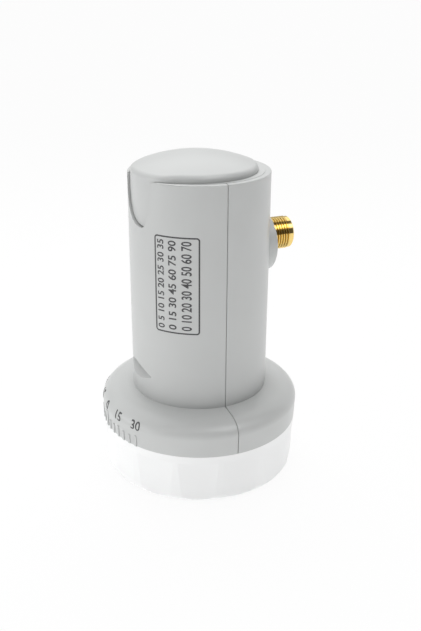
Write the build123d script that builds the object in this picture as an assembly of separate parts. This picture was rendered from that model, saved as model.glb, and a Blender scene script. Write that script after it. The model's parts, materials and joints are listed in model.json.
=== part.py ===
from build123d import *

import os
from math import cos, radians, sin, sqrt

# Satellite LNB: the down-converter that sits at the focus of a dish. Millimetres.
# The neck's axis is +Z and the output port points along +X. The origin is the centre of the feed cap's face,
# on which the object stands. The two half shells part in the plane x = 0.

# Shells, outside
NECK_R = 20.0             # the standard 40 mm neck that dish clamps hold
NECK_LENGTH = 64.2        # from the ring's crown to the rim
NECK_DRAFT = 0.1          # how much narrower the neck is at the rim, above the clamp's land
RIM_ROUND = 0.35          # rounding of the rim's outer edge
RING_STEP = 9.44          # how far the ring stands out from the neck
RING_DRAFT = 0.24         # how much narrower the ring is at its foot
RING_WALL_HEIGHT = 5.7    # the nearly upright part of the ring's wall
RING_SHOULDER = 4.2       # height of the rounded shoulder above that wall
CROWN_WIDTH = 3.7         # the nearly flat crown between the shoulder and the neck
CROWN_RISE = 0.4          # how much the crown climbs towards the neck

# Shells, inside
SHELL_WALL = 2.5          # neck and crown
RING_WALL = 2.4           # the ring's wall
SEAM_WIDTH = 0.26         # parting line that shows on the outside
SEAM_DEPTH = 0.35
KEY_WIDTH = 0.8           # ridge along the parting faces that lines up the two halves
KEY_DEPTH = 0.7
KEY_GAP = 0.1
KEY_END = 10.0            # the ridge stops this far from the neck's two ends
RIB_WIDTH = 1.4           # saddle ribs that hold the waveguide
RIB_GAP = 0.2
RIB_INSET = 5.0           # from the ends of the waveguide

# Skew scale on the ring and clamp notch on the neck
TICK_STEP = 5             # degrees between marks
TICK_LAST = 30            # the scale runs this many degrees to each side of zero
TICK_LONG_EVERY = 15
TICK_WIDTH = 0.7
TICK_HEIGHT = 2.9
TICK_LONG_HEIGHT = 3.4
ZERO_WIDTH = 1.5
ZERO_HEIGHT = 4.8
TICK_PROUD = 0.3
NOTCH_RISE = 7.1          # bottom of the V above the ring's crown
NOTCH_DEPTH = 1.87
NOTCH_UP = 2.6            # height of the V's upper flank
NOTCH_DOWN = 2.1          # height of its lower flank

# End cap: an off-centre dome over the rim, whose flank runs down into a tongue in a cut-out of the scale half
DOME_SHIFT = 1.15         # dome's axis from the neck's, towards the tongue
DOME_BULGE = 3.5          # rise of the dome's curve
DOME_FLANK = 1.55         # upright flank below that curve
DOME_SHOULDER = 1.8       # rounding between the two
DOME_INSET = 2.6          # dome's foot from the rim's outer edge, a quarter turn from the tongue
DOME_WALL = 2.2
DISC_PROUD = 0.08         # dome's foot above the rim
DISC_FIT = 0.04           # clearance of the cap's disc in the rim
FLARE_HALF = 26           # degrees to each side of the tongue's middle over which the foot reaches out to it
FLARE_RUN = 20            # degrees in which the foot then draws in again
FLARE_STEP = 8            # degrees between the points that the foot's curve goes through
SEAT_LEDGE = 0.8          # ledge in the rim that carries the cap
SEAT_DEPTH = 1.6
END_FIT = 0.12            # clearance of the cap's skirt and tongue
END_WALL = 1.6
END_SKIRT = 3.9           # the skirt below the ledge
SCOOP_TURN = 7.8          # tongue's place, in degrees round from the zero mark
SCOOP_DEPTH = 0.8         # tongue's face below the neck's surface
SCOOP_HALF_WIDTH = 6.7
SCOOP_SKEW = 3.0          # tongue's tip from its middle, towards the parting line
SCOOP_ROUND = 11.2        # height of the two quarter ellipses that form its tip
SCOOP_CURL = 2.0          # rounding where the rim turns down into the cut-out
TIP_GAP = 0.38            # clearance at the tongue's tip

# Feed cap
CAP_HEIGHT = 15.6
CAP_DRAFT = 0.6           # how much narrower the cap is at its face
CAP_EDGE = 2.4
CAP_FLOOR = 1.5
CAP_WALL = 1.8
CAP_LEDGE = 0.5           # step that carries the seal
CAP_BAND = 2.3            # plain band above the flats
FLATS = 14
FLAT_HALF_ANGLE = 9.0
FLAT_LEAN = 0.25          # how much deeper the flats lie at their upper end
FLAT_TURN = 16.2
LIP_DEPTH = 4.2           # lip of the shells that the cap closes round
LIP_WALL = 1.4
LIP_ROOT = 1.2            # how far the lip's root reaches up into the ring
LIP_GAP = 0.1
SEAL_GAP = 0.05

# Horn casting
HORN_GAP = 0.3            # between horn and lip
HORN_CLEAR = 1.0          # between horn and the cap's floor
HORN_WALL = 1.6
HORN_PLATE = 3.2
HORN_CONE = 3.0           # height of the cone behind the outer wall
HORN_SEAT = 0.7           # horn's seat stays this far inside the shoulder
HORN_FLARE = 5.5          # how far the inner walls stand back from the front
GROOVES = 3
GROOVE_WALL = 1.2
ELECTRONICS_DEPTH = 6.75  # room for board and cover inside the neck
DECK_STAND = 0.5          # deck's face above the waveguide
DECK_T = 1.6
GUIDE_WALL = 1.5
GUIDE_END = 2.0           # wall that closes the waveguide
COVER_GAP = 0.3           # between the casting or its cover and the shells
DECK_CLEAR = 1.0          # between the deck and the end cap's skirt

# Output port: 3/8-32 thread on a pad of the port half
PORT_R = 4.7625
PORT_DROP = 21.0          # port's axis below the rim
PORT_REACH = 7.1          # thread outside the pad
PORT_CHAMFER = 0.4
SHANK_R = 4.4             # plain shank behind the thread
SHANK_SHOW = 0.2          # of the shank, outside the pad
PORT_GAP = 0.25           # round the thread in the pad
PAD_R = 8.4
PAD_DROP = 1.95           # pad's centre below the port's axis
PAD_PROUD = 1.1           # pad's face outside the neck
PAD_EDGE = 0.5
PAD_WALL = 3.1
CLAMP_CLEAR = 0.8         # the clamp's land stops this far below the pad
GASKET_T = 1.6
FLANGE_R = 6.0
FLANGE_T = 1.4
FLANGE_GAP = 0.4
SPIGOT_R = 4.3
SPIGOT_LENGTH = 7.0
SPIGOT_GAP = 0.03
PORT_BORE_R = 3.4
PORT_MOUTH = 0.8          # insulator's face below the port's end
CONTACT_R = 0.9
CONTACT_BORE_R = 0.6      # takes a cable's centre wire
CONTACT_BORE_DEPTH = 8.0
CONTACT_SET = 0.5         # contact's mouth below the insulator's face
TAIL_R = 0.5              # contact's tail, to the board
TAIL_HOLE_R = 1.6
BLOCK_HALF_WIDTH = 7.5
BLOCK_HALF_HEIGHT = 8.5

# Board, cover and their screws
BOARD_T = 0.8
BOARD_INSET = 1.5         # from the deck's ends
BOARD_SIDE = 0.3          # from the deck's sides
COVER_WALL = 1.2
COVER_END = 2.0           # end walls and the flange beside the pocket
RIB_T = 1.2               # rib between the input stage and the oscillators
SCREW_R = 0.95
SCREW_HEAD_R = 1.5
SCREW_HEAD_T = 0.8
SCREW_SEAT = 0.85         # cover's thickness under a screw's head
SCREW_INSET = 4.0         # first and last screw from the board's ends
SCREW_SLOT = 0.4
SCREW_ROWS = 3
HOLE_GAP = 0.15
THREAD_GAP = 0.05
HEAD_GAP = 0.2
TUNER_R = 1.25
TUNER_GAP = 0.75          # above its resonator
SOLDER_END = 0.4          # pins stand this far out of the board

# Parts in the waveguide and on the board
PROBE_R = 0.5
PROBE_DEPTH = 5.2         # straight probe's reach into the waveguide
BENT_REACH = 6.8          # bent probe's reach before it turns
BENT_ARM = 5.0
SLEEVE_R = 1.7
SLEEVE_GAP = 0.03
PIN_R = 0.6
PIN_SINK = 0.05           # pin's ends below the casting's faces
BENT_FROM_END = 9.0       # bent probe below the closed end
PIN_FROM_BENT = 5.5
STRAIGHT_FROM_PIN = 6.0
LOW_PUCK_R = 2.9
LOW_PUCK_T = 2.2
HIGH_PUCK_R = 2.6
HIGH_PUCK_T = 2.0
PUCK_FROM_PORT = 6.2
PUCK_PITCH = 6.6
TRANSISTOR = (1.0, 1.8, 1.8)     # height off the board, width, length
TRANSISTOR_SIDE = 3.2
MIXER = (0.9, 2.4, 2.4)
CHIP_SIDE = 4.2
AMPLIFIER = (0.9, 2.2, 2.2)
AMPLIFIER_RISE = 3.0
REGULATOR = (2.2, 5.2, 6.0)
REGULATOR_INSET = 0.8

# Heights
cap_top = CAP_HEIGHT
wall_top = cap_top + RING_WALL_HEIGHT
shoulder_top = wall_top + RING_SHOULDER
neck_foot = shoulder_top + CROWN_RISE
rim_z = neck_foot + NECK_LENGTH
disc_top = rim_z + DISC_PROUD
apex_z = disc_top + DOME_FLANK + DOME_BULGE
seat_z = shoulder_top - SHELL_WALL
lip_z = cap_top - LIP_DEPTH
ledge_z = rim_z - SEAT_DEPTH
skirt_z = ledge_z - END_SKIRT
port_z = rim_z - PORT_DROP
pad_z = port_z - PAD_DROP
clamp_top = pad_z - PAD_R - CLAMP_CLEAR
scoop_waist = rim_z - SCOOP_CURL
scoop_tip = scoop_waist - SCOOP_ROUND

# Radii, from the outside in
inner_r = NECK_R - SHELL_WALL
ring_r = NECK_R + RING_STEP
cap_r = ring_r - RING_DRAFT
ring_in = ring_r - RING_WALL
crown_r = NECK_R + CROWN_WIDTH
cap_in = cap_r - CAP_WALL
lip_out = cap_in - LIP_GAP
lip_in = lip_out - LIP_WALL
horn_r = lip_in - HORN_GAP
seal_section = cap_in - horn_r - 2 * SEAL_GAP
seal_z = lip_z - SEAL_GAP - seal_section / 2
seal_ledge = seal_z - seal_section / 2 - SEAL_GAP
seat_r = inner_r + SEAT_LEDGE
flange_r = seat_r - DISC_FIT
skirt_r = inner_r - END_FIT
skirt_in = skirt_r - END_WALL
foot_r = NECK_R - NECK_DRAFT - DOME_INSET
dome_r = (foot_r ** 2 + DOME_BULGE ** 2) / (2 * DOME_BULGE)
tongue_r = NECK_R - SCOOP_DEPTH
casting_r = inner_r - COVER_GAP

# Places along X, from the neck's wall inwards
deck_x = -(inner_r - ELECTRONICS_DEPTH)
board_x = deck_x - BOARD_T
seat_x = board_x - SCREW_SEAT
head_x = seat_x - SCREW_HEAD_T
guide_out = -deck_x - DECK_STAND
guide_r = guide_out - GUIDE_WALL
pad_x = NECK_R + PAD_PROUD
port_x = pad_x + PORT_REACH
gasket_x = pad_x - PAD_WALL
flange_x = gasket_x - GASKET_T
block_x = flange_x - FLANGE_T
spigot_x = block_x - SPIGOT_LENGTH

# Places on the deck
deck_top = skirt_z - DECK_CLEAR
board_low = seat_z + BOARD_INSET
board_high = deck_top - BOARD_INSET
board_half = sqrt(casting_r ** 2 - board_x ** 2) - BOARD_SIDE
screw_y = sqrt(casting_r ** 2 - head_x ** 2) - SCREW_HEAD_R
pocket_half = screw_y - COVER_END
screw_span = board_high - board_low - 2 * SCREW_INSET
screw_heights = [board_low + SCREW_INSET + row * screw_span / (SCREW_ROWS - 1) for row in range(SCREW_ROWS)]
guide_top = port_z - BLOCK_HALF_HEIGHT
guide_end = guide_top - GUIDE_END
bent_z = guide_end - BENT_FROM_END
pin_z = bent_z - PIN_FROM_BENT
straight_z = pin_z - STRAIGHT_FROM_PIN
high_z = port_z - PUCK_FROM_PORT
low_z = high_z - PUCK_PITCH
regulator_z = board_high - COVER_END - REGULATOR_INSET - REGULATOR[2] / 2

# Cutting solids overshoot the faces they cut by this much
PAST = 1.0


def turned(*corners):
    """A solid turned round the Z axis from (radius, height) corners."""
    return revolve(make_face(Plane.XZ * Polyline(*corners, close=True)), Axis.Z)


def tube(outer, inner, low, high):
    """A ring round the Z axis."""
    return turned((inner, low), (outer, low), (outer, high), (inner, high))


def rod(radius, start, end, y=0.0, z=0.0):
    """A round bar along X, from start to end."""
    along = Align.MIN
    bar = Cylinder(radius, end - start, align=(Align.CENTER, Align.CENTER, along))
    return Pos(start, y, z) * Rot(0, 90, 0) * bar


def brick(x_range, y_range, z_range):
    """A block between three pairs of planes."""
    spans = [x_range, y_range, z_range]
    size = [high - low for low, high in spans]
    middle = [(high + low) / 2 for low, high in spans]
    return Pos(*middle) * Box(*size)


def on_board(size, y, z):
    """A chip that lies on the board's outer face."""
    height, width, length = size
    return brick((board_x - height, board_x), (y - width / 2, y + width / 2), (z - length / 2, z + length / 2))


def outer_form(inset, foot):
    """Outside of the two shells together, or the same form drawn in by inset, from foot upwards."""
    shoulder = EllipticalCenterArc(
        center=(crown_r, wall_top),
        x_radius=ring_r - crown_r - inset,
        y_radius=RING_SHOULDER - inset,
        start_angle=0,
        arc_size=90,
    )
    rim_r = NECK_R - NECK_DRAFT - inset
    rim_start = (rim_r, rim_z - RIM_ROUND - inset)
    rim_end = (rim_r - RIM_ROUND, rim_z - inset)
    rim = RadiusArc(rim_start, rim_end, -RIM_ROUND)
    lower = Polyline((0, foot), (cap_r - inset, foot), (ring_r - inset, wall_top))
    upper = Polyline(
        (crown_r, shoulder_top - inset),
        (NECK_R - inset, neck_foot - inset),
        (NECK_R - inset, clamp_top),
        rim_start,
    )
    closing = Polyline(rim_end, (0, rim_z - inset), (0, foot))
    outline = lower + shoulder + upper + rim + closing
    return revolve(make_face(Plane.XZ * outline), Axis.Z)


def inner_form():
    """Space inside the two shells, with the ledge for the end cap and the seat for the horn."""
    shoulder = EllipticalCenterArc(
        center=(crown_r, wall_top),
        x_radius=ring_in - crown_r,
        y_radius=RING_SHOULDER - SHELL_WALL,
        start_angle=0,
        arc_size=90,
    )
    root_z = cap_top + LIP_ROOT
    lower = Polyline(
        (0, lip_z - PAST), (lip_in, lip_z - PAST), (lip_in, root_z), (ring_in, root_z), (ring_in, wall_top)
    )
    upper = Polyline(
        (crown_r, seat_z), (inner_r, seat_z), (inner_r, ledge_z), (seat_r, ledge_z), (seat_r, rim_z + PAST)
    )
    closing = Polyline((seat_r, rim_z + PAST), (0, rim_z + PAST), (0, lip_z - PAST))
    return revolve(make_face(Plane.XZ * (lower + shoulder + upper + closing)), Axis.Z)


def scoop_plane():
    """Upright plane through the axis that faces the tongue: its X runs round the neck, its Y is height."""
    angle = radians(180 + SCOOP_TURN)
    return Plane(origin=(0, 0, 0), x_dir=(-sin(angle), cos(angle), 0), z_dir=(cos(angle), sin(angle), 0))


def scoop_prism(clearance, tip_gap):
    """Radial prism of the cut-out's outline, or of the tongue's inside it. One side sweeps out into the rim."""
    half = SCOOP_HALF_WIDTH - clearance
    depth = SCOOP_ROUND - tip_gap
    brim_x = SCOOP_HALF_WIDTH + SCOOP_CURL
    brim_z = rim_z + clearance
    top = rim_z + PAST
    middle = (SCOOP_SKEW, scoop_waist)
    outline = EllipticalCenterArc(middle, half + SCOOP_SKEW, depth, start_angle=180, arc_size=90)
    outline += EllipticalCenterArc(middle, half - SCOOP_SKEW, depth, start_angle=270, arc_size=90)
    outline += RadiusArc((half, scoop_waist), (brim_x, brim_z), SCOOP_CURL + clearance)
    outline += Polyline((brim_x, brim_z), (brim_x, top), (-half, top), (-half, scoop_waist))
    return extrude(scoop_plane() * make_face(outline), amount=NECK_R + PAST)


def both_shells():
    """The shells as one body, before they are parted."""
    lip = tube(lip_out, lip_in, lip_z, cap_top + LIP_ROOT)
    body = outer_form(0, cap_top) + lip - inner_form()
    parting = brick(
        (-SEAM_WIDTH / 2, SEAM_WIDTH / 2), (-2 * ring_r, 2 * ring_r), (cap_top, rim_z + PAST)
    )
    return body - (parting - outer_form(SEAM_DEPTH, cap_top - PAST))


def alignment_keys(gap):
    """Ridges on the two parting faces of the neck, or the grooves that take them."""
    middle = NECK_R - SHELL_WALL / 2
    half = KEY_WIDTH / 2 + gap
    depth = KEY_DEPTH + gap
    low = neck_foot + KEY_END - gap
    high = rim_z - KEY_END + gap
    root = KEY_DEPTH if gap == 0 else 0
    return [
        brick((-depth, root), (side * middle - half, side * middle + half), (low, high)) for side in (-1, 1)
    ]


def scale_ticks():
    """Raised marks round the ring's foot, with the broad zero mark on the -X side."""
    ticks = []
    for angle in range(-TICK_LAST, TICK_LAST + 1, TICK_STEP):
        width, height = TICK_WIDTH, TICK_HEIGHT
        if angle % TICK_LONG_EVERY == 0:
            height = TICK_LONG_HEIGHT
        if angle == 0:
            width, height = ZERO_WIDTH, ZERO_HEIGHT
        mark = brick((-cap_r - TICK_PROUD, -ring_in), (-width / 2, width / 2), (cap_top, cap_top + height))
        ticks.append(Rot(0, 0, angle) * mark)
    return ticks


def scale_half_shell():
    shell = split(both_shells(), bisect_by=Plane.YZ, keep=Keep.BOTTOM)
    notch_z = neck_foot + NOTCH_RISE
    deep = -(NECK_R - NOTCH_DEPTH)
    out = deep - 2 * NOTCH_DEPTH
    flanks = Polyline(
        (deep, notch_z), (out, notch_z + 2 * NOTCH_UP), (out, notch_z - 2 * NOTCH_DOWN), close=True
    )
    notch = extrude(make_face(Plane.XZ * flanks), amount=NECK_R, both=True)
    shell = shell + scale_ticks() - notch - scoop_prism(0, 0)
    return shell - alignment_keys(KEY_GAP)


def port_half_shell():
    shell = split(both_shells(), bisect_by=Plane.YZ, keep=Keep.TOP)
    pad = rod(PAD_R, 0, pad_x, z=pad_z)
    pad = fillet(pad.edges().sort_by(Axis.X)[-1], PAD_EDGE)
    shell = shell + (pad - Cylinder(inner_r, 2 * rim_z))
    for rib_z in (seat_z + RIB_INSET, guide_end - RIB_INSET):
        rib = tube(inner_r + SHELL_WALL / 2, guide_out + RIB_GAP, rib_z, rib_z + RIB_WIDTH)
        shell = shell + split(rib, bisect_by=Plane.YZ, keep=Keep.TOP)
    shell = shell + alignment_keys(0)
    shell = shell - rod(PORT_R + PORT_GAP, 0, pad_x + PAST, z=port_z)
    return shell - rod(FLANGE_R + FLANGE_GAP, block_x, gasket_x, z=port_z)


def dome_axis():
    """Moves a form from the neck's axis to the dome's."""
    return Location(scoop_plane().z_dir * DOME_SHIFT)


def foot_reach(angle):
    """Radius of the dome's foot round the neck's axis, at an angle from the tongue's middle."""
    turn = radians(angle)
    round_foot = DOME_SHIFT * cos(turn) + sqrt(foot_r ** 2 - (DOME_SHIFT * sin(turn)) ** 2)
    run = min(max((abs(angle) - FLARE_HALF) / FLARE_RUN, 0), 1)
    drawn_in = run * run * (3 - 2 * run)
    return tongue_r + (round_foot - tongue_r) * drawn_in


def domed_column():
    """The dome on an upright flank that reaches down past the tongue's tip."""
    points = []
    for angle in range(-180, 180, FLARE_STEP):
        turn = radians(180 + SCOOP_TURN + angle)
        points.append((foot_reach(angle) * cos(turn), foot_reach(angle) * sin(turn)))
    low = scoop_tip - PAST
    column = extrude(Pos(0, 0, low) * make_face(Spline(*points, periodic=True)), amount=apex_z - low)
    ball = dome_axis() * Pos(0, 0, apex_z - dome_r) * Rot(90, 0, 0) * Sphere(dome_r)
    column = column & ball
    shoulder = [edge for edge in column.edges() if edge.bounding_box().min.Z > rim_z]
    return fillet(shoulder, DOME_SHOULDER)


def end_cap():
    body = turned(
        (0, skirt_z), (skirt_r, skirt_z), (skirt_r, ledge_z), (flange_r, ledge_z), (flange_r, disc_top),
        (0, disc_top),
    )
    room = brick((-NECK_R, NECK_R), (-NECK_R, NECK_R), (disc_top, apex_z + PAST))
    room = room + (scoop_prism(END_FIT, TIP_GAP) - Cylinder(skirt_r, 2 * disc_top))
    body = body + (domed_column() & room)
    inside = Cylinder(skirt_in, 2 * apex_z)
    hollow = inside & (dome_axis() * Pos(0, 0, apex_z - dome_r) * Sphere(dome_r - DOME_WALL))
    return body - hollow


def feed_cap():
    bottom_r = cap_r - CAP_DRAFT
    low_in = cap_in - CAP_LEDGE
    section = make_face(Polyline(
        (0, 0), (bottom_r, 0), (cap_r, cap_top), (cap_in, cap_top), (cap_in, seal_ledge), (low_in, seal_ledge),
        (low_in, CAP_FLOOR), (0, CAP_FLOOR), close=True,
    ))
    edge = section.vertices().sort_by_distance((bottom_r, 0))[0]
    cap = revolve(Plane.XZ * fillet(edge, CAP_EDGE), Axis.Z)
    flat_top = cap_top - CAP_BAND
    share = cos(radians(FLAT_HALF_ANGLE))
    low_x = bottom_r * share
    high_x = (bottom_r + CAP_DRAFT * flat_top / cap_top) * share - FLAT_LEAN
    far = 2 * cap_r
    side = Polyline((low_x, 0), (high_x, flat_top), (far, flat_top), (far, 0), close=True)
    cutter = extrude(make_face(Plane.XZ * side), amount=cap_r * sin(radians(360 / FLATS / 2)), both=True)
    for number in range(FLATS):
        cap = cap - Rot(0, 0, FLAT_TURN + number * 360 / FLATS) * cutter
    return cap


def feed_cap_seal():
    middle_r = (cap_in + horn_r) / 2
    return Pos(0, 0, seal_z) * Torus(middle_r, seal_section / 2)


def screw_places():
    return [(side * screw_y, z) for z in screw_heights for side in (-1, 1)]


def horn():
    """Corrugated horn: ring walls that stand back towards the waveguide, on a plate behind them."""
    front = CAP_FLOOR + HORN_CLEAR
    seat_edge = crown_r - HORN_SEAT
    body = turned(
        (0, front), (horn_r, front), (horn_r, seat_z - HORN_CONE), (seat_edge, seat_z), (0, seat_z)
    )
    inside = horn_r - HORN_WALL
    groove_width = (inside - guide_out - (GROOVES - 1) * GROOVE_WALL) / GROOVES
    for number in range(GROOVES):
        inner = guide_out + number * (groove_width + GROOVE_WALL)
        body = body - tube(inner + groove_width, inner, front - PAST, seat_z - HORN_PLATE)
    flare = turned((0, front), (inside, front), (guide_r, front + HORN_FLARE), (0, front + HORN_FLARE))
    return body - flare


def horn_casting():
    guide = Pos(0, 0, seat_z) * Cylinder(
        guide_out, guide_top - seat_z, align=(Align.CENTER, Align.CENTER, Align.MIN)
    )
    deck = brick((deck_x, deck_x + DECK_T), (-NECK_R, NECK_R), (seat_z, deck_top))
    block_z = (port_z - BLOCK_HALF_HEIGHT, port_z + BLOCK_HALF_HEIGHT)
    block = brick((deck_x, block_x), (-BLOCK_HALF_WIDTH, BLOCK_HALF_WIDTH), block_z)
    neck_room = Cylinder(casting_r, 2 * rim_z)
    body = horn() + guide + ((deck + block) & neck_room)
    front = CAP_FLOOR + HORN_CLEAR
    bore = Pos(0, 0, front - PAST) * Cylinder(
        guide_r, guide_end - front + PAST, align=(Align.CENTER, Align.CENTER, Align.MIN)
    )
    body = body - bore
    body = body - rod(SPIGOT_R + SPIGOT_GAP, spigot_x, block_x + PAST, z=port_z)
    body = body - rod(TAIL_HOLE_R, deck_x - PAST, spigot_x + PAST, z=port_z)
    for z in (straight_z, bent_z):
        body = body - rod(SLEEVE_R + SLEEVE_GAP, deck_x - PAST, 0, z=z)
    body = body - rod(PIN_R + SLEEVE_GAP, -guide_out, guide_out + PAST, z=pin_z)
    for y, z in screw_places():
        body = body - rod(SCREW_R + THREAD_GAP, deck_x - PAST, deck_x + DECK_T + PAST, y, z)
    return body


def circuit_board():
    board = brick((board_x, deck_x), (-board_half, board_half), (board_low, board_high))
    for y, z in screw_places():
        board = board - rod(SCREW_R + HOLE_GAP, board_x - PAST, deck_x + PAST, y, z)
    for z in (straight_z, bent_z, port_z):
        board = board - rod(PROBE_R + SLEEVE_GAP, board_x - PAST, deck_x + PAST, z=z)
    return board


def shield_cover():
    room = brick((-2 * NECK_R, board_x), (-board_half, board_half), (board_low, board_high))
    cover = room & Cylinder(casting_r, 2 * rim_z)
    pocket = brick(
        (-2 * NECK_R, board_x), (-pocket_half, pocket_half), (board_low + COVER_END, board_high - COVER_END)
    )
    rib_z = (bent_z + low_z - LOW_PUCK_R) / 2
    rib = brick((-2 * NECK_R, board_x), (-pocket_half, pocket_half), (rib_z - RIB_T / 2, rib_z + RIB_T / 2))
    cover = cover - ((pocket - rib) & Cylinder(casting_r - COVER_WALL, 2 * rim_z))
    for y, z in screw_places():
        cover = cover - rod(SCREW_R + HOLE_GAP, -NECK_R, board_x + PAST, y, z)
        cover = cover - rod(SCREW_HEAD_R + HEAD_GAP, -NECK_R, seat_x, y, z)
    for z in (low_z, high_z):
        cover = cover - rod(TUNER_R + THREAD_GAP, -NECK_R, board_x + PAST, z=z)
    return cover


def cover_screws():
    screws = []
    for y, z in screw_places():
        screw = rod(SCREW_HEAD_R, head_x, seat_x, y, z) + rod(SCREW_R, seat_x, deck_x + DECK_T, y, z)
        slot = brick(
            (head_x, head_x + SCREW_SLOT),
            (y - SCREW_HEAD_R, y + SCREW_HEAD_R),
            (z - SCREW_SLOT / 2, z + SCREW_SLOT / 2),
        )
        screws.append(screw - slot)
    return Compound(children=screws)


def tuning_screws():
    screws = []
    for z, height in ((low_z, LOW_PUCK_T), (high_z, HIGH_PUCK_T)):
        screw = rod(TUNER_R, -casting_r, board_x - height - TUNER_GAP, z=z)
        slot = brick(
            (-casting_r, SCREW_SLOT - casting_r), (-TUNER_R, TUNER_R), (z - SCREW_SLOT / 2, z + SCREW_SLOT / 2)
        )
        screws.append(screw - slot)
    return Compound(children=screws)


def straight_probe():
    return rod(PROBE_R, board_x - SOLDER_END, PROBE_DEPTH - guide_r, z=straight_z)


def bent_probe():
    turn_x = BENT_REACH - guide_r
    path = FilletPolyline(
        (board_x - SOLDER_END, 0, bent_z), (turn_x, 0, bent_z), (turn_x, BENT_ARM, bent_z), radius=2 * PROBE_R
    )
    start = Plane(origin=path @ 0, z_dir=path % 0)
    return sweep(start * Circle(PROBE_R), path=path)


def probe_sleeves():
    sleeves = []
    for z in (straight_z, bent_z):
        sleeve = rod(SLEEVE_R, deck_x, -guide_r, z=z)
        sleeves.append(sleeve - rod(PROBE_R + SLEEVE_GAP, deck_x - PAST, 0, z=z))
    return Compound(children=sleeves)


def isolator_pin():
    return rod(PIN_R, PIN_SINK - guide_out, guide_out - PIN_SINK, z=pin_z)


def front_transistors():
    places = [(-TRANSISTOR_SIDE, straight_z), (TRANSISTOR_SIDE, bent_z), (0, pin_z)]
    return Compound(children=[on_board(TRANSISTOR, y, z) for y, z in places])


def port_body():
    thread_x = pad_x + SHANK_SHOW
    body = rod(PORT_R, thread_x, port_x, z=port_z)
    body = chamfer(body.edges().sort_by(Axis.X)[-1], PORT_CHAMFER)
    body = body + rod(SHANK_R, flange_x, thread_x, z=port_z)
    body = body + rod(FLANGE_R, block_x, flange_x, z=port_z)
    body = body + rod(SPIGOT_R, spigot_x, block_x, z=port_z)
    return body - rod(PORT_BORE_R, spigot_x - PAST, port_x + PAST, z=port_z)


def port_insulator():
    insulator = rod(PORT_BORE_R - SLEEVE_GAP, spigot_x, port_x - PORT_MOUTH, z=port_z)
    return insulator - rod(CONTACT_R + SLEEVE_GAP, spigot_x - PAST, port_x, z=port_z)


def port_contact():
    mouth = port_x - PORT_MOUTH - CONTACT_SET
    socket = rod(CONTACT_R, spigot_x, mouth, z=port_z)
    tail = rod(TAIL_R, board_x - SOLDER_END, spigot_x, z=port_z)
    return socket + tail - rod(CONTACT_BORE_R, mouth - CONTACT_BORE_DEPTH, mouth + PAST, z=port_z)


def port_gasket():
    gasket = rod(FLANGE_R, flange_x, gasket_x, z=port_z)
    return gasket - rod(SHANK_R + PORT_GAP, flange_x - PAST, gasket_x + PAST, z=port_z)


nodes = {
    "scale_half_shell": scale_half_shell(),
    "port_half_shell": port_half_shell(),
    "end_cap": end_cap(),
    "feed_cap": feed_cap(),
    "feed_cap_seal": feed_cap_seal(),
    "horn_casting": horn_casting(),
    "circuit_board": circuit_board(),
    "shield_cover": shield_cover(),
    "cover_screws": cover_screws(),
    "tuning_screws": tuning_screws(),
    "straight_probe": straight_probe(),
    "bent_probe": bent_probe(),
    "probe_sleeves": probe_sleeves(),
    "isolator_pin": isolator_pin(),
    "low_band_resonator": rod(LOW_PUCK_R, board_x - LOW_PUCK_T, board_x, z=low_z),
    "high_band_resonator": rod(HIGH_PUCK_R, board_x - HIGH_PUCK_T, board_x, z=high_z),
    "front_transistors": front_transistors(),
    "mixer_chip": on_board(MIXER, -CHIP_SIDE, (low_z + high_z) / 2),
    "amplifier_chip": on_board(AMPLIFIER, CHIP_SIDE, port_z + AMPLIFIER_RISE),
    "regulator": on_board(REGULATOR, 0, regulator_z),
    "port_body": port_body(),
    "port_insulator": port_insulator(),
    "port_contact": port_contact(),
    "port_gasket": port_gasket(),
}

os.makedirs("parts", exist_ok=True)
for name, solid in nodes.items():
    export_step(solid, f"parts/{name}.step")
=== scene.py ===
import json
from math import ceil, cos, pi, radians, sin

import bpy
from mathutils import Matrix, Vector


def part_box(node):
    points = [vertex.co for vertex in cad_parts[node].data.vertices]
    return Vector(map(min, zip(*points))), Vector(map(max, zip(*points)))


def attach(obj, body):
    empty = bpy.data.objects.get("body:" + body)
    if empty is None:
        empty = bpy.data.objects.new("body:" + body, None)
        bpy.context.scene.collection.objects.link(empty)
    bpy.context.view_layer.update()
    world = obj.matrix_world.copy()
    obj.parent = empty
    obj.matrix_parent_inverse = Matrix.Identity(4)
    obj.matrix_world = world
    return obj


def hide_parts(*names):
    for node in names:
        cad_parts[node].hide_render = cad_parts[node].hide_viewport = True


# Satellite LNB, dressed around its solids. Metres, as the frame has them: the neck's axis is +Z, the output
# port points along +X, the skew scale faces -X, and the object stands on its feed cap.
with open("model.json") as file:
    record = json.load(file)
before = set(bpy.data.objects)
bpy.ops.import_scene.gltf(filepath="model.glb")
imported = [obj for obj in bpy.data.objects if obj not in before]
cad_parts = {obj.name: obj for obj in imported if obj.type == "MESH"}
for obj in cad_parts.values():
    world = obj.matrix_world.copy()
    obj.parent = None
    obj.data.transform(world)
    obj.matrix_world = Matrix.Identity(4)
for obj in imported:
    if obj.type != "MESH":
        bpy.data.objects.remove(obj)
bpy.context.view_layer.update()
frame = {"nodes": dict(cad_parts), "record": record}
nodes = frame["nodes"]

# Horn casting: the metal core, with the corrugated horn, the waveguide behind it and the deck for the circuit
# board. It is die cast in one piece from zinc alloy and left bare, and the two half shells close round it.
MM = 0.001
CASTING_DARK = (0.42, 0.43, 0.44, 1)
CASTING_LIGHT = (0.62, 0.63, 0.64, 1)
CASTING_FLOW = 6 * MM         # size of the flow marks
CASTING_GRAIN = 0.35 * MM
CASTING_ROUGH = 0.38          # at its smoothest, and what flow marks and grain add
FLOW_ROUGH = 0.14
GRAIN_ROUGH = 0.1
FLOW_RELIEF = 0.5             # the flow marks' height as a share of the grain's


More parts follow.
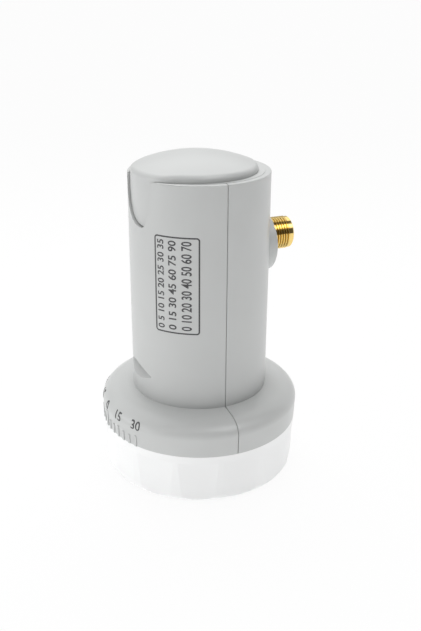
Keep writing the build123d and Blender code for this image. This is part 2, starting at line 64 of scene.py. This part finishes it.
class Signal:
    """A value in a material's nodes. Sums and products add Math nodes, and node() adds any other node."""

    def __init__(self, tree, socket):
        self.tree = tree
        self.socket = socket

    def node(self, kind, settings, inputs, output=0):
        """Adds a node, sets it up, feeds its sockets with values or signals, and gives one of its outputs."""
        added = self.tree.nodes.new("ShaderNode" + kind)
        for name, value in settings.items():
            if name == "stops":
                ramp = added.color_ramp.elements
                for number, (position, colour) in enumerate(value):
                    stop = ramp[number] if number < len(ramp) else ramp.new(position)
                    stop.position = position
                    stop.color = colour
            else:
                setattr(added, name, value)
        for name, value in inputs.items():
            if isinstance(value, Signal):
                self.tree.links.new(value.socket, added.inputs[name])
            else:
                added.inputs[name].default_value = value
        return Signal(self.tree, added.outputs[output])

    def maths(self, operation, first, second):
        return self.node("Math", {"operation": operation}, {0: first, 1: second})

    def __add__(self, other):
        return self.maths("ADD", self, other)

    def __mul__(self, other):
        return self.maths("MULTIPLY", self, other)

    def __truediv__(self, other):
        return self.maths("DIVIDE", self, other)

    def __gt__(self, other):
        return self.maths("GREATER_THAN", self, other)

    def __lt__(self, other):
        return self.maths("LESS_THAN", self, other)

    __radd__ = __add__
    __rmul__ = __mul__

    def noise(self, size, detail=2.0):
        """Noise of that feature size over these coordinates, about 0 to 1."""
        return self.node("TexNoise", {}, {"Vector": self, "Scale": 1 / size, "Detail": detail})

    def axis(self, name):
        """One coordinate of a vector."""
        return self.node("SeparateXYZ", {}, {0: self}, name)

    def tint(self, low, high):
        """The colour between low and high that the value picks as it goes from 0 to 1."""
        return self.node("Mix", {"data_type": "RGBA"}, {0: self, 6: low, 7: high}, 2)

    def bump(self, strength, height):
        """The surface's normal, tilted by this value as a height of so many metres."""
        return self.node("Bump", {}, {"Strength": strength, "Distance": height, "Height": self})

    def feed(self, shader, socket):
        self.tree.links.new(self.socket, shader.inputs[socket])


def new_finish(name, **constants):
    """A material, its shader with these sockets set, and the object's coordinates to build patterns on."""
    finish = bpy.data.materials.new(name)
    finish.use_nodes = True
    shader = finish.node_tree.nodes["Principled BSDF"]
    for socket, value in constants.items():
        shader.inputs[socket.replace("_", " ")].default_value = value
    texture = finish.node_tree.nodes.new("ShaderNodeTexCoord")
    return finish, shader, Signal(finish.node_tree, texture.outputs["Object"])


def dress(finish, *names):
    """Gives solids of the frame a finish."""
    for name in names:
        for slot in nodes[name].material_slots:
            slot.material = finish


def cast_metal(name, dark, light):
    """Bare die-cast metal: dull, with flow marks from the mould and a fine grain."""
    finish, shader, place = new_finish(name, Metallic=1.0)
    flow = place.noise(CASTING_FLOW, detail=3)
    grain = place.noise(CASTING_GRAIN)
    flow.tint(dark, light).feed(shader, "Base Color")
    (CASTING_ROUGH + FLOW_ROUGH * flow + GRAIN_ROUGH * grain).feed(shader, "Roughness")
    (grain + FLOW_RELIEF * flow).bump(strength=0.25, height=0.05 * MM).feed(shader, "Normal")
    return finish


dress(cast_metal("casting", CASTING_DARK, CASTING_LIGHT), "horn_casting")

# Probes, sleeves and pin: two gold plated wires pick up the two polarisations in the waveguide, in white
# insulating sleeves pressed into the casting. A plain brass pin between them keeps the polarisations apart.
GOLD = (0.96, 0.73, 0.29, 1)
GOLD_DEEP = (0.88, 0.63, 0.21, 1)
BRASS = (0.78, 0.57, 0.25, 1)
BRASS_DULL = (0.6, 0.43, 0.2, 1)
GOLD_ROUGH = 0.1
BRASS_ROUGH = 0.25
POLISH_CLOUD = 1.5 * MM
TURNING_MARK = 0.06 * MM
POLISH_ROUGH = 0.08           # what clouds in the polish and tool marks add to the roughness
MARK_ROUGH = 0.06
SLEEVE_WHITE = (0.8, 0.8, 0.78, 1)
SLEEVE_WARM = (0.74, 0.73, 0.69, 1)
SLEEVE_CLOUD = 1.2 * MM
SLEEVE_GRAIN = 0.12 * MM
SLEEVE_ROUGH = 0.35           # at its smoothest, and what the cloud adds
SLEEVE_CLOUD_ROUGH = 0.15


def turned_metal(name, bright, dull, roughness):
    """Turned bar metal: fine tool marks along X and slight clouds in the polish."""
    finish, shader, place = new_finish(name, Metallic=1.0)
    cloud = place.noise(POLISH_CLOUD, detail=3)
    along = place.axis("X") / TURNING_MARK
    marks = place.node("TexNoise", {"noise_dimensions": "1D"}, {"W": along, "Scale": 1.0})
    cloud.tint(bright, dull).feed(shader, "Base Color")
    (roughness + POLISH_ROUGH * cloud + MARK_ROUGH * marks).feed(shader, "Roughness")
    marks.bump(strength=0.12, height=0.01 * MM).feed(shader, "Normal")
    return finish


def white_polymer():
    """Waxy white insulating plastic, turned from rod."""
    finish, shader, place = new_finish("insulator", Subsurface_Weight=0.2, Subsurface_Scale=1.0 * MM)
    cloud = place.noise(SLEEVE_CLOUD, detail=3)
    cloud.tint(SLEEVE_WHITE, SLEEVE_WARM).feed(shader, "Base Color")
    (SLEEVE_ROUGH + SLEEVE_CLOUD_ROUGH * cloud).feed(shader, "Roughness")
    place.noise(SLEEVE_GRAIN).bump(strength=0.15, height=0.02 * MM).feed(shader, "Normal")
    return finish


gold = turned_metal("gold_plate", GOLD, GOLD_DEEP, GOLD_ROUGH)
brass = turned_metal("brass", BRASS, BRASS_DULL, BRASS_ROUGH)
polymer = white_polymer()
dress(gold, "straight_probe", "bent_probe")
dress(polymer, "probe_sleeves")
dress(brass, "isolator_pin")

# Circuit board: a glass fibre board with a green mask over copper tracks. It lies on the casting's deck, and
# carries black moulded chips and two sintered ceramic pucks that set the oscillators.
MASK_GREEN = (0.02, 0.13, 0.05, 1)
TRACK_GREEN = (0.06, 0.24, 0.09, 1)
TRACK_SIZE = 2.2 * MM
TRACK_EDGE = 0.12             # half the gap between tracks, as a share of their size
WEAVE_SIZE = 0.35 * MM
WEAVE_SHARE = 0.15            # the glass weave's share in the colour
WEAVE_RELIEF = 0.2            # its height as a share of the tracks'
CHIP_BLACK = (0.018, 0.018, 0.019, 1)
CHIP_GREY = (0.04, 0.04, 0.042, 1)
CHIP_SPECK = 0.1 * MM
CHIP_ROUGH = 0.5
PUCK_PALE = (0.74, 0.64, 0.52, 1)
PUCK_DARK = (0.6, 0.5, 0.39, 1)
PUCK_SPECK = 0.15 * MM
PUCK_ROUGH = 0.6
SPECK_ROUGH = 0.15            # what a speckle adds to the roughness
SPECK_RELIEF = 0.2            # its height as a share of its size


def masked_board():
    """Tracks show through the mask as paler, raised lanes."""
    finish, shader, place = new_finish("board", Roughness=0.4, Coat_Weight=0.3)
    lanes = place.node(
        "TexVoronoi",
        {"distance": "CHEBYCHEV", "feature": "DISTANCE_TO_EDGE"},
        {"Vector": place, "Scale": 1 / TRACK_SIZE, "Randomness": 0.6},
    )
    tracks = lanes > TRACK_EDGE
    weave = place.noise(WEAVE_SIZE)
    shade = (1 - WEAVE_SHARE) * tracks + WEAVE_SHARE * weave
    shade.tint(MASK_GREEN, TRACK_GREEN).feed(shader, "Base Color")
    (tracks + WEAVE_RELIEF * weave).bump(strength=0.4, height=0.03 * MM).feed(shader, "Normal")
    return finish


def speckled(name, dark, light, speck, roughness):
    """A dull moulded or sintered surface with a fine speckle."""
    finish, shader, place = new_finish(name)
    grain = place.noise(speck, detail=3)
    grain.tint(dark, light).feed(shader, "Base Color")
    (roughness + SPECK_ROUGH * grain).feed(shader, "Roughness")
    grain.bump(strength=0.3, height=SPECK_RELIEF * speck).feed(shader, "Normal")
    return finish


dress(masked_board(), "circuit_board")
chips = ("front_transistors", "mixer_chip", "amplifier_chip", "regulator")
dress(speckled("chip", CHIP_BLACK, CHIP_GREY, CHIP_SPECK, CHIP_ROUGH), *chips)
pucks = ("low_band_resonator", "high_band_resonator")
dress(speckled("puck", PUCK_DARK, PUCK_PALE, PUCK_SPECK, PUCK_ROUGH), *pucks)

# Shield cover: a second casting that closes the board in, held by six zinc plated screws. Two brass screws
# in it tune the pucks under them.
COVER_DARK = (0.5, 0.51, 0.52, 1)
COVER_LIGHT = (0.68, 0.69, 0.7, 1)
ZINC = (0.6, 0.61, 0.63, 1)
ZINC_DULL = (0.5, 0.5, 0.5, 1)
ZINC_ROUGH = 0.3

dress(cast_metal("cover_metal", COVER_DARK, COVER_LIGHT), "shield_cover")
dress(turned_metal("steel", ZINC, ZINC_DULL, ZINC_ROUGH), "cover_screws")
dress(brass, "tuning_screws")

# Output port: a gold plated brass barrel with a 3/8-32 thread, a plain lead-in ring and a flange that is
# clamped behind the shell on a rubber gasket. A white insulator in its bore holds the gold plated contact.
THREAD_PITCH = 25.4 / 32 * MM  # 32 turns to the inch
THREAD_DEPTH = 0.46 * MM
CREST_SHARE = 0.24            # flat crest, as a share of the pitch
TOOTH_SIDES = 6               # a tooth starts as a hexagon
THREAD_STEPS = 72             # round each turn
THREAD_WELD = THREAD_PITCH / 1000    # turns that meet within this are joined
LEAD_IN = 1.5 * MM            # plain ring at the mouth
LEAD_IN_DROP = 0.12 * MM      # lead-in ring's surface below the thread's crest
MOUTH_CHAMFER = 0.35 * MM
SPIGOT_R = 4.3 * MM
SHANK_R = 4.4 * MM
FLANGE_T = 1.4 * MM
BORE_GAP = 0.03 * MM          # round the insulator
CORE_OVERLAP = 0.05 * MM      # the barrel's core reaches this far up into the thread
BARREL_SIDES = 96
SHARP_ANGLE = 30              # degrees from which an edge is left sharp
PLATE_ROUGH = 0.06            # on the crests, and what clouds and roots add
PLATE_CLOUD_ROUGH = 0.06
ROOT_ROUGH = 0.2
# Painted shade: a dark brown laid into the thread's roots, where shade falls between the turns.
ROOT_SHADE_BROWN = (0.3, 0.18, 0.03, 1)
ROOT_END = 0.25               # the painted shade in the roots is full up to this share of the thread's depth
CREST_START = 0.7             # and gone from this one
RUBBER_BLACK = (0.02, 0.02, 0.02, 1)
RUBBER_GREY = (0.05, 0.05, 0.05, 1)
RUBBER_SPECK = 0.2 * MM
RUBBER_ROUGH = 0.7

mounts = {mount["name"]: mount for mount in frame["record"]["mounts"]}
thread = mounts["port_thread"]
thread_r = thread["dims"]["r_mm"] * MM
port_z = thread["pos_m"][2]
port_low, port_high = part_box("port_body")
flange_r = (port_high.y - port_low.y) / 2
gasket_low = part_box("port_gasket")[0]
flange_face = gasket_low.x
bore_r = (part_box("port_insulator")[1].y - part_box("port_insulator")[0].y) / 2 + BORE_GAP


def only(piece):
    """Leaves edit mode, selects one object alone and makes it the active one."""
    if bpy.context.mode == "EDIT_MESH":
        bpy.ops.object.mode_set(mode="OBJECT")
    bpy.ops.object.select_all(action="DESELECT")
    piece.select_set(True)
    bpy.context.view_layer.objects.active = piece


def finish_place(piece):
    """Moves a piece's place into its mesh."""
    only(piece)
    bpy.ops.object.transform_apply(location=True, rotation=True, scale=True)


def pick(piece, kind, wanted):
    """Goes into edit mode with only those vertices or faces selected whose place passes the test."""
    only(piece)
    bpy.ops.object.mode_set(mode="EDIT")
    bpy.ops.mesh.select_mode(type=kind)
    bpy.ops.mesh.select_all(action="DESELECT")
    bpy.ops.object.mode_set(mode="OBJECT")
    parts = piece.data.vertices if kind == "VERT" else piece.data.polygons
    for part in parts:
        part.select = wanted(part.co if kind == "VERT" else part.center)
    bpy.ops.object.mode_set(mode="EDIT")


def apply_modifier(piece, kind, **settings):
    """Adds a modifier, sets it up and applies it."""
    modifier = piece.modifiers.new(kind.lower(), kind)
    for name, value in settings.items():
        setattr(modifier, name, value)
    only(piece)
    bpy.ops.object.modifier_apply(modifier=modifier.name)


def carve(piece, other, operation):
    """Joins another closed piece to this one, or cuts it away, and removes the other."""
    apply_modifier(piece, "BOOLEAN", operation=operation, object=other, solver="EXACT")
    bpy.data.objects.remove(other)


def bar_along_x(radius, start, end):
    """A round bar on the port's axis."""
    bpy.ops.mesh.primitive_cylinder_add(
        vertices=BARREL_SIDES,
        radius=radius,
        depth=end - start,
        location=((start + end) / 2, 0, port_z),
        rotation=(0, pi / 2, 0),
    )
    bar = bpy.context.object
    finish_place(bar)
    return bar


def threaded_rod(start, end):
    """A closed rod with the port's thread: a tooth swept along a helix, trimmed square and laid along X."""
    half = THREAD_PITCH / 2
    turns = ceil((end - start) / THREAD_PITCH) + 1
    bpy.ops.mesh.primitive_circle_add(vertices=TOOTH_SIDES, radius=half, fill_type="NOTHING")
    rod = bpy.context.object
    crest_x = half * cos(pi / TOOTH_SIDES)
    pick(rod, "VERT", lambda place: place.x < -half / 2)
    bpy.ops.mesh.delete(type="VERT")
    bpy.ops.mesh.select_all(action="SELECT")
    bpy.ops.transform.resize(value=(THREAD_DEPTH / crest_x, 1, 1), center_override=(0, 0, 0))
    pick(rod, "VERT", lambda place: place.x > THREAD_DEPTH / 2)
    bpy.ops.transform.resize(value=(1, CREST_SHARE * THREAD_PITCH / half, 1), center_override=(0, 0, 0))
    bpy.ops.mesh.select_all(action="SELECT")
    bpy.ops.transform.translate(value=(thread_r - THREAD_DEPTH, 0, 0))
    bpy.ops.object.mode_set(mode="OBJECT")
    apply_modifier(
        rod,
        "SCREW",
        axis="Y",
        screw_offset=THREAD_PITCH,
        iterations=turns,
        steps=THREAD_STEPS,
        render_steps=THREAD_STEPS,
    )
    bpy.ops.object.mode_set(mode="EDIT")
    bpy.ops.mesh.select_all(action="SELECT")
    bpy.ops.mesh.remove_doubles(threshold=THREAD_WELD)
    bpy.ops.mesh.select_all(action="SELECT")
    bpy.ops.mesh.bisect(plane_co=(0, half, 0), plane_no=(0, 1, 0), use_fill=True, clear_inner=True)
    bpy.ops.mesh.select_all(action="SELECT")
    far = half + end - start
    bpy.ops.mesh.bisect(plane_co=(0, far, 0), plane_no=(0, 1, 0), use_fill=True, clear_outer=True)
    bpy.ops.mesh.select_all(action="SELECT")
    bpy.ops.mesh.normals_make_consistent(inside=False)
    bpy.ops.object.mode_set(mode="OBJECT")
    rod.rotation_euler = (0, 0, -pi / 2)
    rod.location = (start - half, 0, port_z)
    finish_place(rod)
    return rod


def threaded_port():
    """The barrel, stepped out from its spigot as on a lathe, with the thread round its core, and bored."""
    flange_back = flange_face - FLANGE_T
    thread_start = thread["pos_m"][0] - thread["dims"]["length_mm"] * MM / 2 - THREAD_PITCH / 2
    lead_start = port_high.x - LEAD_IN
    thread_end = lead_start + THREAD_PITCH / 4
    core_r = thread_r - THREAD_DEPTH + CORE_OVERLAP
    lead_r = thread_r - LEAD_IN_DROP
    steps = [
        (SPIGOT_R, flange_back),
        (flange_r, flange_back),
        (flange_r, flange_face),
        (SHANK_R, flange_face),
        (SHANK_R, thread_start),
        (core_r, thread_start),
        (core_r, lead_start),
        (lead_r, lead_start),
        (lead_r, port_high.x - MOUTH_CHAMFER),
        (lead_r - MOUTH_CHAMFER, port_high.x),
    ]
    port = bar_along_x(SPIGOT_R, port_low.x, flange_back)
    pick(port, "FACE", lambda place: place.x > flange_back - BORE_GAP)
    for (old_r, old_x), (new_r, new_x) in zip(steps, steps[1:]):
        bpy.ops.mesh.extrude_region_move(TRANSFORM_OT_translate={"value": (new_x - old_x, 0, 0)})
        share = new_r / old_r
        bpy.ops.transform.resize(value=(1, share, share), center_override=(new_x, 0, port_z))
    bpy.ops.object.mode_set(mode="OBJECT")
    carve(port, threaded_rod(thread_start, thread_end), "UNION")
    carve(port, bar_along_x(bore_r, port_low.x - MM, port_high.x + MM), "DIFFERENCE")
    port.name = "threaded_port"
    only(port)
    bpy.ops.object.shade_smooth_by_angle(angle=radians(SHARP_ANGLE))
    return port


def plated_thread():
    """Gold plate, pale on the thread's crests and duller in its roots, with painted shade darkening the roots
    to brown.
    """
    finish, shader, place = new_finish("port_gold", Metallic=1.0)
    side, height = place.axis("Y"), place.axis("Z") + -port_z
    radius = side.maths("SQRT", side * side + height * height, 0)
    depth = (radius + -(thread_r - THREAD_DEPTH)) / THREAD_DEPTH
    along = place.axis("X")
    on_thread = (along > flange_face) * (along < port_high.x - LEAD_IN)
    root = on_thread * depth.node("MapRange", {}, {0: depth, 1: ROOT_END, 2: CREST_START, 3: 1.0, 4: 0.0})
    cloud = place.noise(POLISH_CLOUD, detail=3)
    plate = cloud.tint(GOLD, GOLD_DEEP)
    # painted shade: the colour in the thread's roots is drawn towards dark brown
    root.tint(plate, ROOT_SHADE_BROWN).feed(shader, "Base Color")
    (PLATE_ROUGH + PLATE_CLOUD_ROUGH * cloud + ROOT_ROUGH * root).feed(shader, "Roughness")
    return finish


port = threaded_port()
port.data.materials.clear()
port.data.materials.append(plated_thread())
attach(port, "root")
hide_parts("port_body")
dress(gold, "port_contact")
dress(polymer, "port_insulator")
rubber = speckled("rubber", RUBBER_BLACK, RUBBER_GREY, RUBBER_SPECK, RUBBER_ROUGH)
dress(rubber, "port_gasket")

# Half shells and end cap: moulded in light grey weatherproof plastic with a fine satin grain. The shells part
# along the neck and clip round the casting, and the end cap's dome sits in their rim.
GREY_DARK = (0.51, 0.52, 0.515, 1)
GREY_LIGHT = (0.56, 0.57, 0.565, 1)
GREY_ROUGH = 0.26
PLASTIC_CLOUD = 14 * MM
SATIN_GRAIN = 0.22 * MM
SATIN_SHARE = 0.2             # the grain's share in the colour
SATIN_ROUGH = 0.08            # what grain and cloud add to the roughness
CLOUD_ROUGH = 0.06


def moulded_plastic(name, dark, light, roughness):
    """Moulded plastic: a hardly seen cloud in the colour, and the fine grain of the mould."""
    finish, shader, place = new_finish(name)
    cloud = place.noise(PLASTIC_CLOUD, detail=4)
    grain = place.noise(SATIN_GRAIN)
    shade = (1 - SATIN_SHARE) * cloud + SATIN_SHARE * grain
    shade.tint(dark, light).feed(shader, "Base Color")
    (roughness + SATIN_ROUGH * grain + CLOUD_ROUGH * cloud).feed(shader, "Roughness")
    grain.bump(strength=0.12, height=0.02 * MM).feed(shader, "Normal")
    return finish


grey = moulded_plastic("grey_plastic", GREY_DARK, GREY_LIGHT, GREY_ROUGH)
dress(grey, "scale_half_shell", "port_half_shell", "end_cap")

# Scale figures: plain numbers pad printed in dark ink on the ring, above the skew scale's marks. Installers
# read the turn of the object in its clamp from them.
FIGURE_STEP = 15              # degrees between the numbered marks
FIGURE_LAST = 30
FIGURE_HEIGHT = 2.6 * MM
FIGURE_FOOT = 20.9 * MM       # height of the figures' feet above the floor
FIGURE_BOLD = 0.01            # how much the strokes are thickened, as a share of the type size
FIGURE_PROUD = 0.05 * MM      # the figures stand this far out of the surface, and reach as far into it
FIGURE_CUT = 0.35 * MM        # spacing of the cuts that let the figures follow the ring
TYPE_STEPS = 4                # straight pieces in each curve of the type
STAND_OFF = 6 * MM            # a flat piece starts this far outside the shell, and is drawn down to it
ALONG = Vector((1, 0, 0))     # a flat piece's own directions
UP = Vector((0, 1, 0))
INK_DARK = (0.03, 0.03, 0.032, 1)
INK_THIN = (0.11, 0.11, 0.112, 1)
INK_PATCH = 0.5 * MM          # size of the patches where the ink is thin
INK_ROUGH = 0.45              # at its smoothest, and what thin patches add
THIN_ROUGH = 0.2
ring_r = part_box("scale_half_shell")[1].y


def outward(angle, upright):
    """Axes of a flat piece that faces outwards at an angle from the zero mark, read level or from below."""
    out = Vector((-cos(radians(angle)), -sin(radians(angle)), 0))
    up = Vector((0, 0, 1))
    across = up.cross(out)
    return (across, up, out) if upright else (up, -across, out)


def flat_figures(name, text, height, bold, length=None):
    """Text as a flat mesh round the origin, of that height and, where it is given, length."""
    bpy.ops.object.select_all(action="DESELECT")
    bpy.ops.object.text_add()
    bpy.context.object.data.body = text
    bpy.context.object.data.offset = bold
    bpy.context.object.data.resolution_u = TYPE_STEPS
    bpy.ops.object.convert(target="MESH")
    piece = bpy.context.object
    piece.name = name
    bpy.ops.object.origin_set(type="GEOMETRY_ORIGIN", center="BOUNDS")
    size = piece.dimensions
    tall = height / size.y
    wide = tall if length is None else length / size.x
    piece.scale = (wide, tall, 1)
    finish_place(piece)
    return piece


def cut_up(piece, direction, step):
    """Cuts a flat piece into strips across a direction, so that it can follow a curve."""
    along = [vertex.co.dot(direction) for vertex in piece.data.vertices]
    only(piece)
    bpy.ops.object.mode_set(mode="EDIT")
    for number in range(1, ceil((max(along) - min(along)) / step)):
        bpy.ops.mesh.select_all(action="SELECT")
        bpy.ops.mesh.bisect(plane_co=direction * (min(along) + number * step), plane_no=direction)
    bpy.ops.object.mode_set(mode="OBJECT")


def lay_on_shell(piece, angle, radius, height, upright, proud):
    """Stands a flat piece outside the scale half, draws it down to the surface and thickens it there."""
    across, up, out = outward(angle, upright)
    turned = Matrix((across, up, out)).transposed().to_4x4()
    start = (radius + STAND_OFF) * out + Vector((0, 0, height))
    piece.matrix_world = Matrix.Translation(start) @ turned
    apply_modifier(
        piece,
        "SHRINKWRAP",
        target=nodes["scale_half_shell"],
        wrap_method="PROJECT",
        wrap_mode="ABOVE_SURFACE",
        use_project_z=True,
        use_negative_direction=True,
        use_positive_direction=False,
        offset=proud,
    )
    finish_place(piece)
    apply_modifier(piece, "SOLIDIFY", thickness=2 * proud, offset=-1)


def printed_ink():
    """Pad printing ink: dull, and a little thin in places."""
    finish, shader, place = new_finish("panel_ink")
    thin = place.noise(INK_PATCH, detail=3)
    thin.tint(INK_DARK, INK_THIN).feed(shader, "Base Color")
    (INK_ROUGH + THIN_ROUGH * thin).feed(shader, "Roughness")
    return finish


ink = printed_ink()
for angle in range(-FIGURE_LAST, FIGURE_LAST + 1, FIGURE_STEP):
    side = "left" if angle > 0 else "right"
    name = f"scale_figure_{abs(angle)}_{side}"
    figures = flat_figures(name, str(abs(angle)), FIGURE_HEIGHT, FIGURE_BOLD)
    cut_up(figures, ALONG, 2 * FIGURE_CUT)
    cut_up(figures, UP, FIGURE_CUT)
    middle = FIGURE_FOOT + FIGURE_HEIGHT / 2
    lay_on_shell(figures, angle, ring_r, middle, True, FIGURE_PROUD)
    figures.data.materials.append(ink)
    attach(figures, "root")

# Printed panel: a round-cornered frame with three rows of plain numbers, pad printed in dark grey ink on the
# neck's scale half. The rows are read from below.
PANEL_LEFT = 31.7             # degrees from the zero mark
PANEL_RIGHT = 68.9
PANEL_LOW = 48.8 * MM
PANEL_HIGH = 76.4 * MM
PANEL_CORNER = 0.9 * MM
PANEL_CORNER_STEPS = 6
PANEL_LINE = 0.42 * MM
PANEL_ROWS = [                # each row's angle, height of its figures, and text
    (37.0, 2.0 * MM, "0 5 10 15 20 25 30 35"),
    (46.9, 2.3 * MM, "0 15 30 45 60 75 90"),
    (58.4, 2.9 * MM, "0 10 20 30 40 50 60 70"),
]
PANEL_ROW_LENGTH = 25.4 * MM
INK_BOLD = 0.018              # how much the printed strokes are thickened, as a share of the type size
INK_PROUD = 0.015 * MM        # the print stands this far out of the surface, and reaches as far into it
INK_CUT = 0.4 * MM            # spacing of the cuts that let the print follow the neck
LINE_CUT = 3 * MM             # spacing of the cuts across the frame's long lines
neck_r = mounts["neck"]["dims"]["r_mm"] * MM


def panel_frame():
    """The panel's frame: a plate with rounded corners, inset, with its middle taken out."""
    width = 2 * neck_r * sin(radians((PANEL_RIGHT - PANEL_LEFT) / 2))
    bpy.ops.object.select_all(action="DESELECT")
    bpy.ops.mesh.primitive_plane_add(size=1)
    plate = bpy.context.object
    plate.name = "panel_frame"
    plate.scale = (width, PANEL_HIGH - PANEL_LOW, 1)
    finish_place(plate)
    bpy.ops.object.mode_set(mode="EDIT")
    bpy.ops.mesh.select_all(action="SELECT")
    bpy.ops.mesh.bevel(offset=PANEL_CORNER, segments=PANEL_CORNER_STEPS, affect="VERTICES")
    bpy.ops.mesh.select_all(action="SELECT")
    bpy.ops.mesh.inset(thickness=PANEL_LINE)
    bpy.ops.mesh.delete(type="FACE")
    bpy.ops.object.mode_set(mode="OBJECT")
    cut_up(plate, ALONG, INK_CUT)
    cut_up(plate, UP, LINE_CUT)
    return plate


prints = [((PANEL_LEFT + PANEL_RIGHT) / 2, panel_frame(), True)]
for number, (angle, height, text) in enumerate(PANEL_ROWS):
    row = flat_figures(f"panel_row_{number + 1}", text, height, INK_BOLD, PANEL_ROW_LENGTH)
    cut_up(row, UP, INK_CUT)
    prints.append((angle, row, False))
middle = (PANEL_LOW + PANEL_HIGH) / 2
for angle, piece, upright in prints:
    lay_on_shell(piece, angle, neck_r, middle, upright, INK_PROUD)
    piece.data.materials.append(ink)
    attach(piece, "root")

# Feed cap: the white cap over the horn, moulded in plastic that lets the signal through, with grip flats
# round it. It closes on a black rubber ring.
CAP_WHITE = (0.9, 0.905, 0.905, 1)
CAP_SHADE = (0.87, 0.875, 0.875, 1)
CAP_ROUGH = 0.3

dress(rubber, "feed_cap_seal")
dress(moulded_plastic("white_plastic", CAP_SHADE, CAP_WHITE, CAP_ROUGH), "feed_cap")

# Floor and light: a plain pale floor under a room that is bright overhead, with one soft box above and
# behind, one to the left, and a glowing table top that fills in from below. The camera sees the room as
# white, and the floor as nearly white.
FLOOR_SIZE = 40.0
FLOOR_WHITE = (0.85, 0.85, 0.85, 1)
FLOOR_SHINE = 0.92            # share of plain white that the camera and reflections see in the floor
ROOM_DIM = 0.08               # the room's walls
ROOM_OVERHEAD = 2.9           # its ceiling, straight above
ROOM_FALL = 6.0               # how fast the ceiling dims towards the walls
ROOM_BANDS = [                # what reflections show instead, from the front horizon over the top to the back
    (0.0, (0.1, 0.1, 0.1, 1)),
    (0.2, (0.1, 0.1, 0.1, 1)),
    (0.24, (1.0, 1.0, 1.0, 1)),
    (0.37, (1.0, 1.0, 1.0, 1)),
    (0.41, (0.1, 0.1, 0.1, 1)),
    (0.53, (0.1, 0.1, 0.1, 1)),
    (0.57, (1.3, 1.3, 1.3, 1)),
    (0.8, (1.3, 1.3, 1.3, 1)),
    (0.88, (0.5, 0.5, 0.5, 1)),
]
ROOM_LAMP = (0.23, -0.5, 0.834)       # direction of a lamp that they show on top of the bands
LAMP_BRIGHT = 7.0
LAMP_FALL = 50.0              # how fast the lamp dims towards its edge
TABLE_LIFT = 0.5 * MM
BOXES = [                     # name, place, what it faces, width, height, power
    ("back_box", (0.04, 0.15, 0.36), (0, 0, 0.09), 0.25, 0.2, 0.66),
    ("left_box", (-0.75, 0.1, 0.12), (0, 0, 0.05), 0.6, 0.24, 1.25),
    ("table_box", (0, 0, TABLE_LIFT), (0, 0, 1), 1.0, 1.0, 1.9),
]
REFLECTED_BOX = "left_box"    # the only one that reflections show


def white_to_camera(tree, shader, share, *rays):
    """A shader with that share of plain white mixed in for the named kinds of ray."""
    path = tree.nodes.new("ShaderNodeLightPath")
    seen = Signal(tree, path.outputs[f"Is {rays[0]} Ray"])
    for kind in rays[1:]:
        seen = seen.maths("MAXIMUM", seen, Signal(tree, path.outputs[f"Is {kind} Ray"]))
    white = seen.node("Emission", {}, {"Strength": 1.0})
    return seen.node("MixShader", {}, {0: share * seen, 1: Signal(tree, shader.outputs[0]), 2: white})


bpy.ops.object.select_all(action="DESELECT")
bpy.ops.mesh.primitive_plane_add(size=FLOOR_SIZE)
floor = bpy.context.object
floor.name = "floor"
paper, shader, _ = new_finish("floor_paper", Base_Color=FLOOR_WHITE, Roughness=0.9)
mixed = white_to_camera(paper.node_tree, shader, FLOOR_SHINE, "Camera", "Glossy", "Transmission")
paper.node_tree.links.new(mixed.socket, paper.node_tree.nodes["Material Output"].inputs["Surface"])
floor.data.materials.append(paper)

world = bpy.data.worlds.new("room")
bpy.context.scene.world = world
world.use_nodes = True
tree = world.node_tree
sky = tree.nodes["Background"]
ray = Signal(tree, tree.nodes.new("ShaderNodeTexCoord").outputs["Generated"])
rise = ray.axis("Z")
overhead = rise.maths("POWER", rise.maths("MAXIMUM", rise, 0.0), ROOM_FALL)
turn = rise.maths("ARCTAN2", rise, -1 * ray.axis("Y")) / pi
bands = turn.node("ValToRGB", {"stops": ROOM_BANDS}, {0: turn})
mirrored = Signal(tree, tree.nodes.new("ShaderNodeLightPath").outputs["Is Glossy Ray"])
lamp = ray.node("VectorMath", {"operation": "DOT_PRODUCT"}, {0: ray, 1: ROOM_LAMP}, "Value")
lamp = lamp.maths("POWER", lamp.maths("MAXIMUM", lamp, 0.0), LAMP_FALL)
mirrored.tint(ROOM_DIM + ROOM_OVERHEAD * overhead, bands + LAMP_BRIGHT * lamp).feed(sky, "Color")
mixed = white_to_camera(tree, sky, 1.0, "Camera")
tree.links.new(mixed.socket, tree.nodes["World Output"].inputs["Surface"])

for name, stand, aim, width, height, power in BOXES:
    bpy.ops.object.light_add(type="AREA", location=stand)
    box = bpy.context.object
    box.name = name
    box.rotation_euler = (Vector(aim) - Vector(stand)).to_track_quat("-Z", "Y").to_euler()
    box.data.shape = "RECTANGLE"
    box.data.size = width
    box.data.size_y = height
    box.data.energy = power
    box.visible_camera = False
    box.visible_glossy = name == REFLECTED_BOX

# Camera: the photograph's viewpoint, a little above the object and to the left of the seam. Place, lens and
# shift were fitted to the object's outline.
CAMERA_PLACE = (-81.77 * MM, -204.43 * MM, 138.64 * MM)
CAMERA_TILT = 67.205          # degrees up from straight down
CAMERA_TURN = -21.8           # degrees round from looking along +Y
CAMERA_LENS = 45.895
CAMERA_SHIFT = (0.0178, 0.0008)

camera_angles = (radians(CAMERA_TILT), 0, radians(CAMERA_TURN))
bpy.ops.object.camera_add(location=CAMERA_PLACE, rotation=camera_angles)
camera = bpy.context.object
camera.data.lens = CAMERA_LENS
camera.data.shift_x, camera.data.shift_y = CAMERA_SHIFT
camera.data.clip_start = MM
bpy.context.scene.camera = camera
bpy.context.scene.view_settings.view_transform = "Standard"
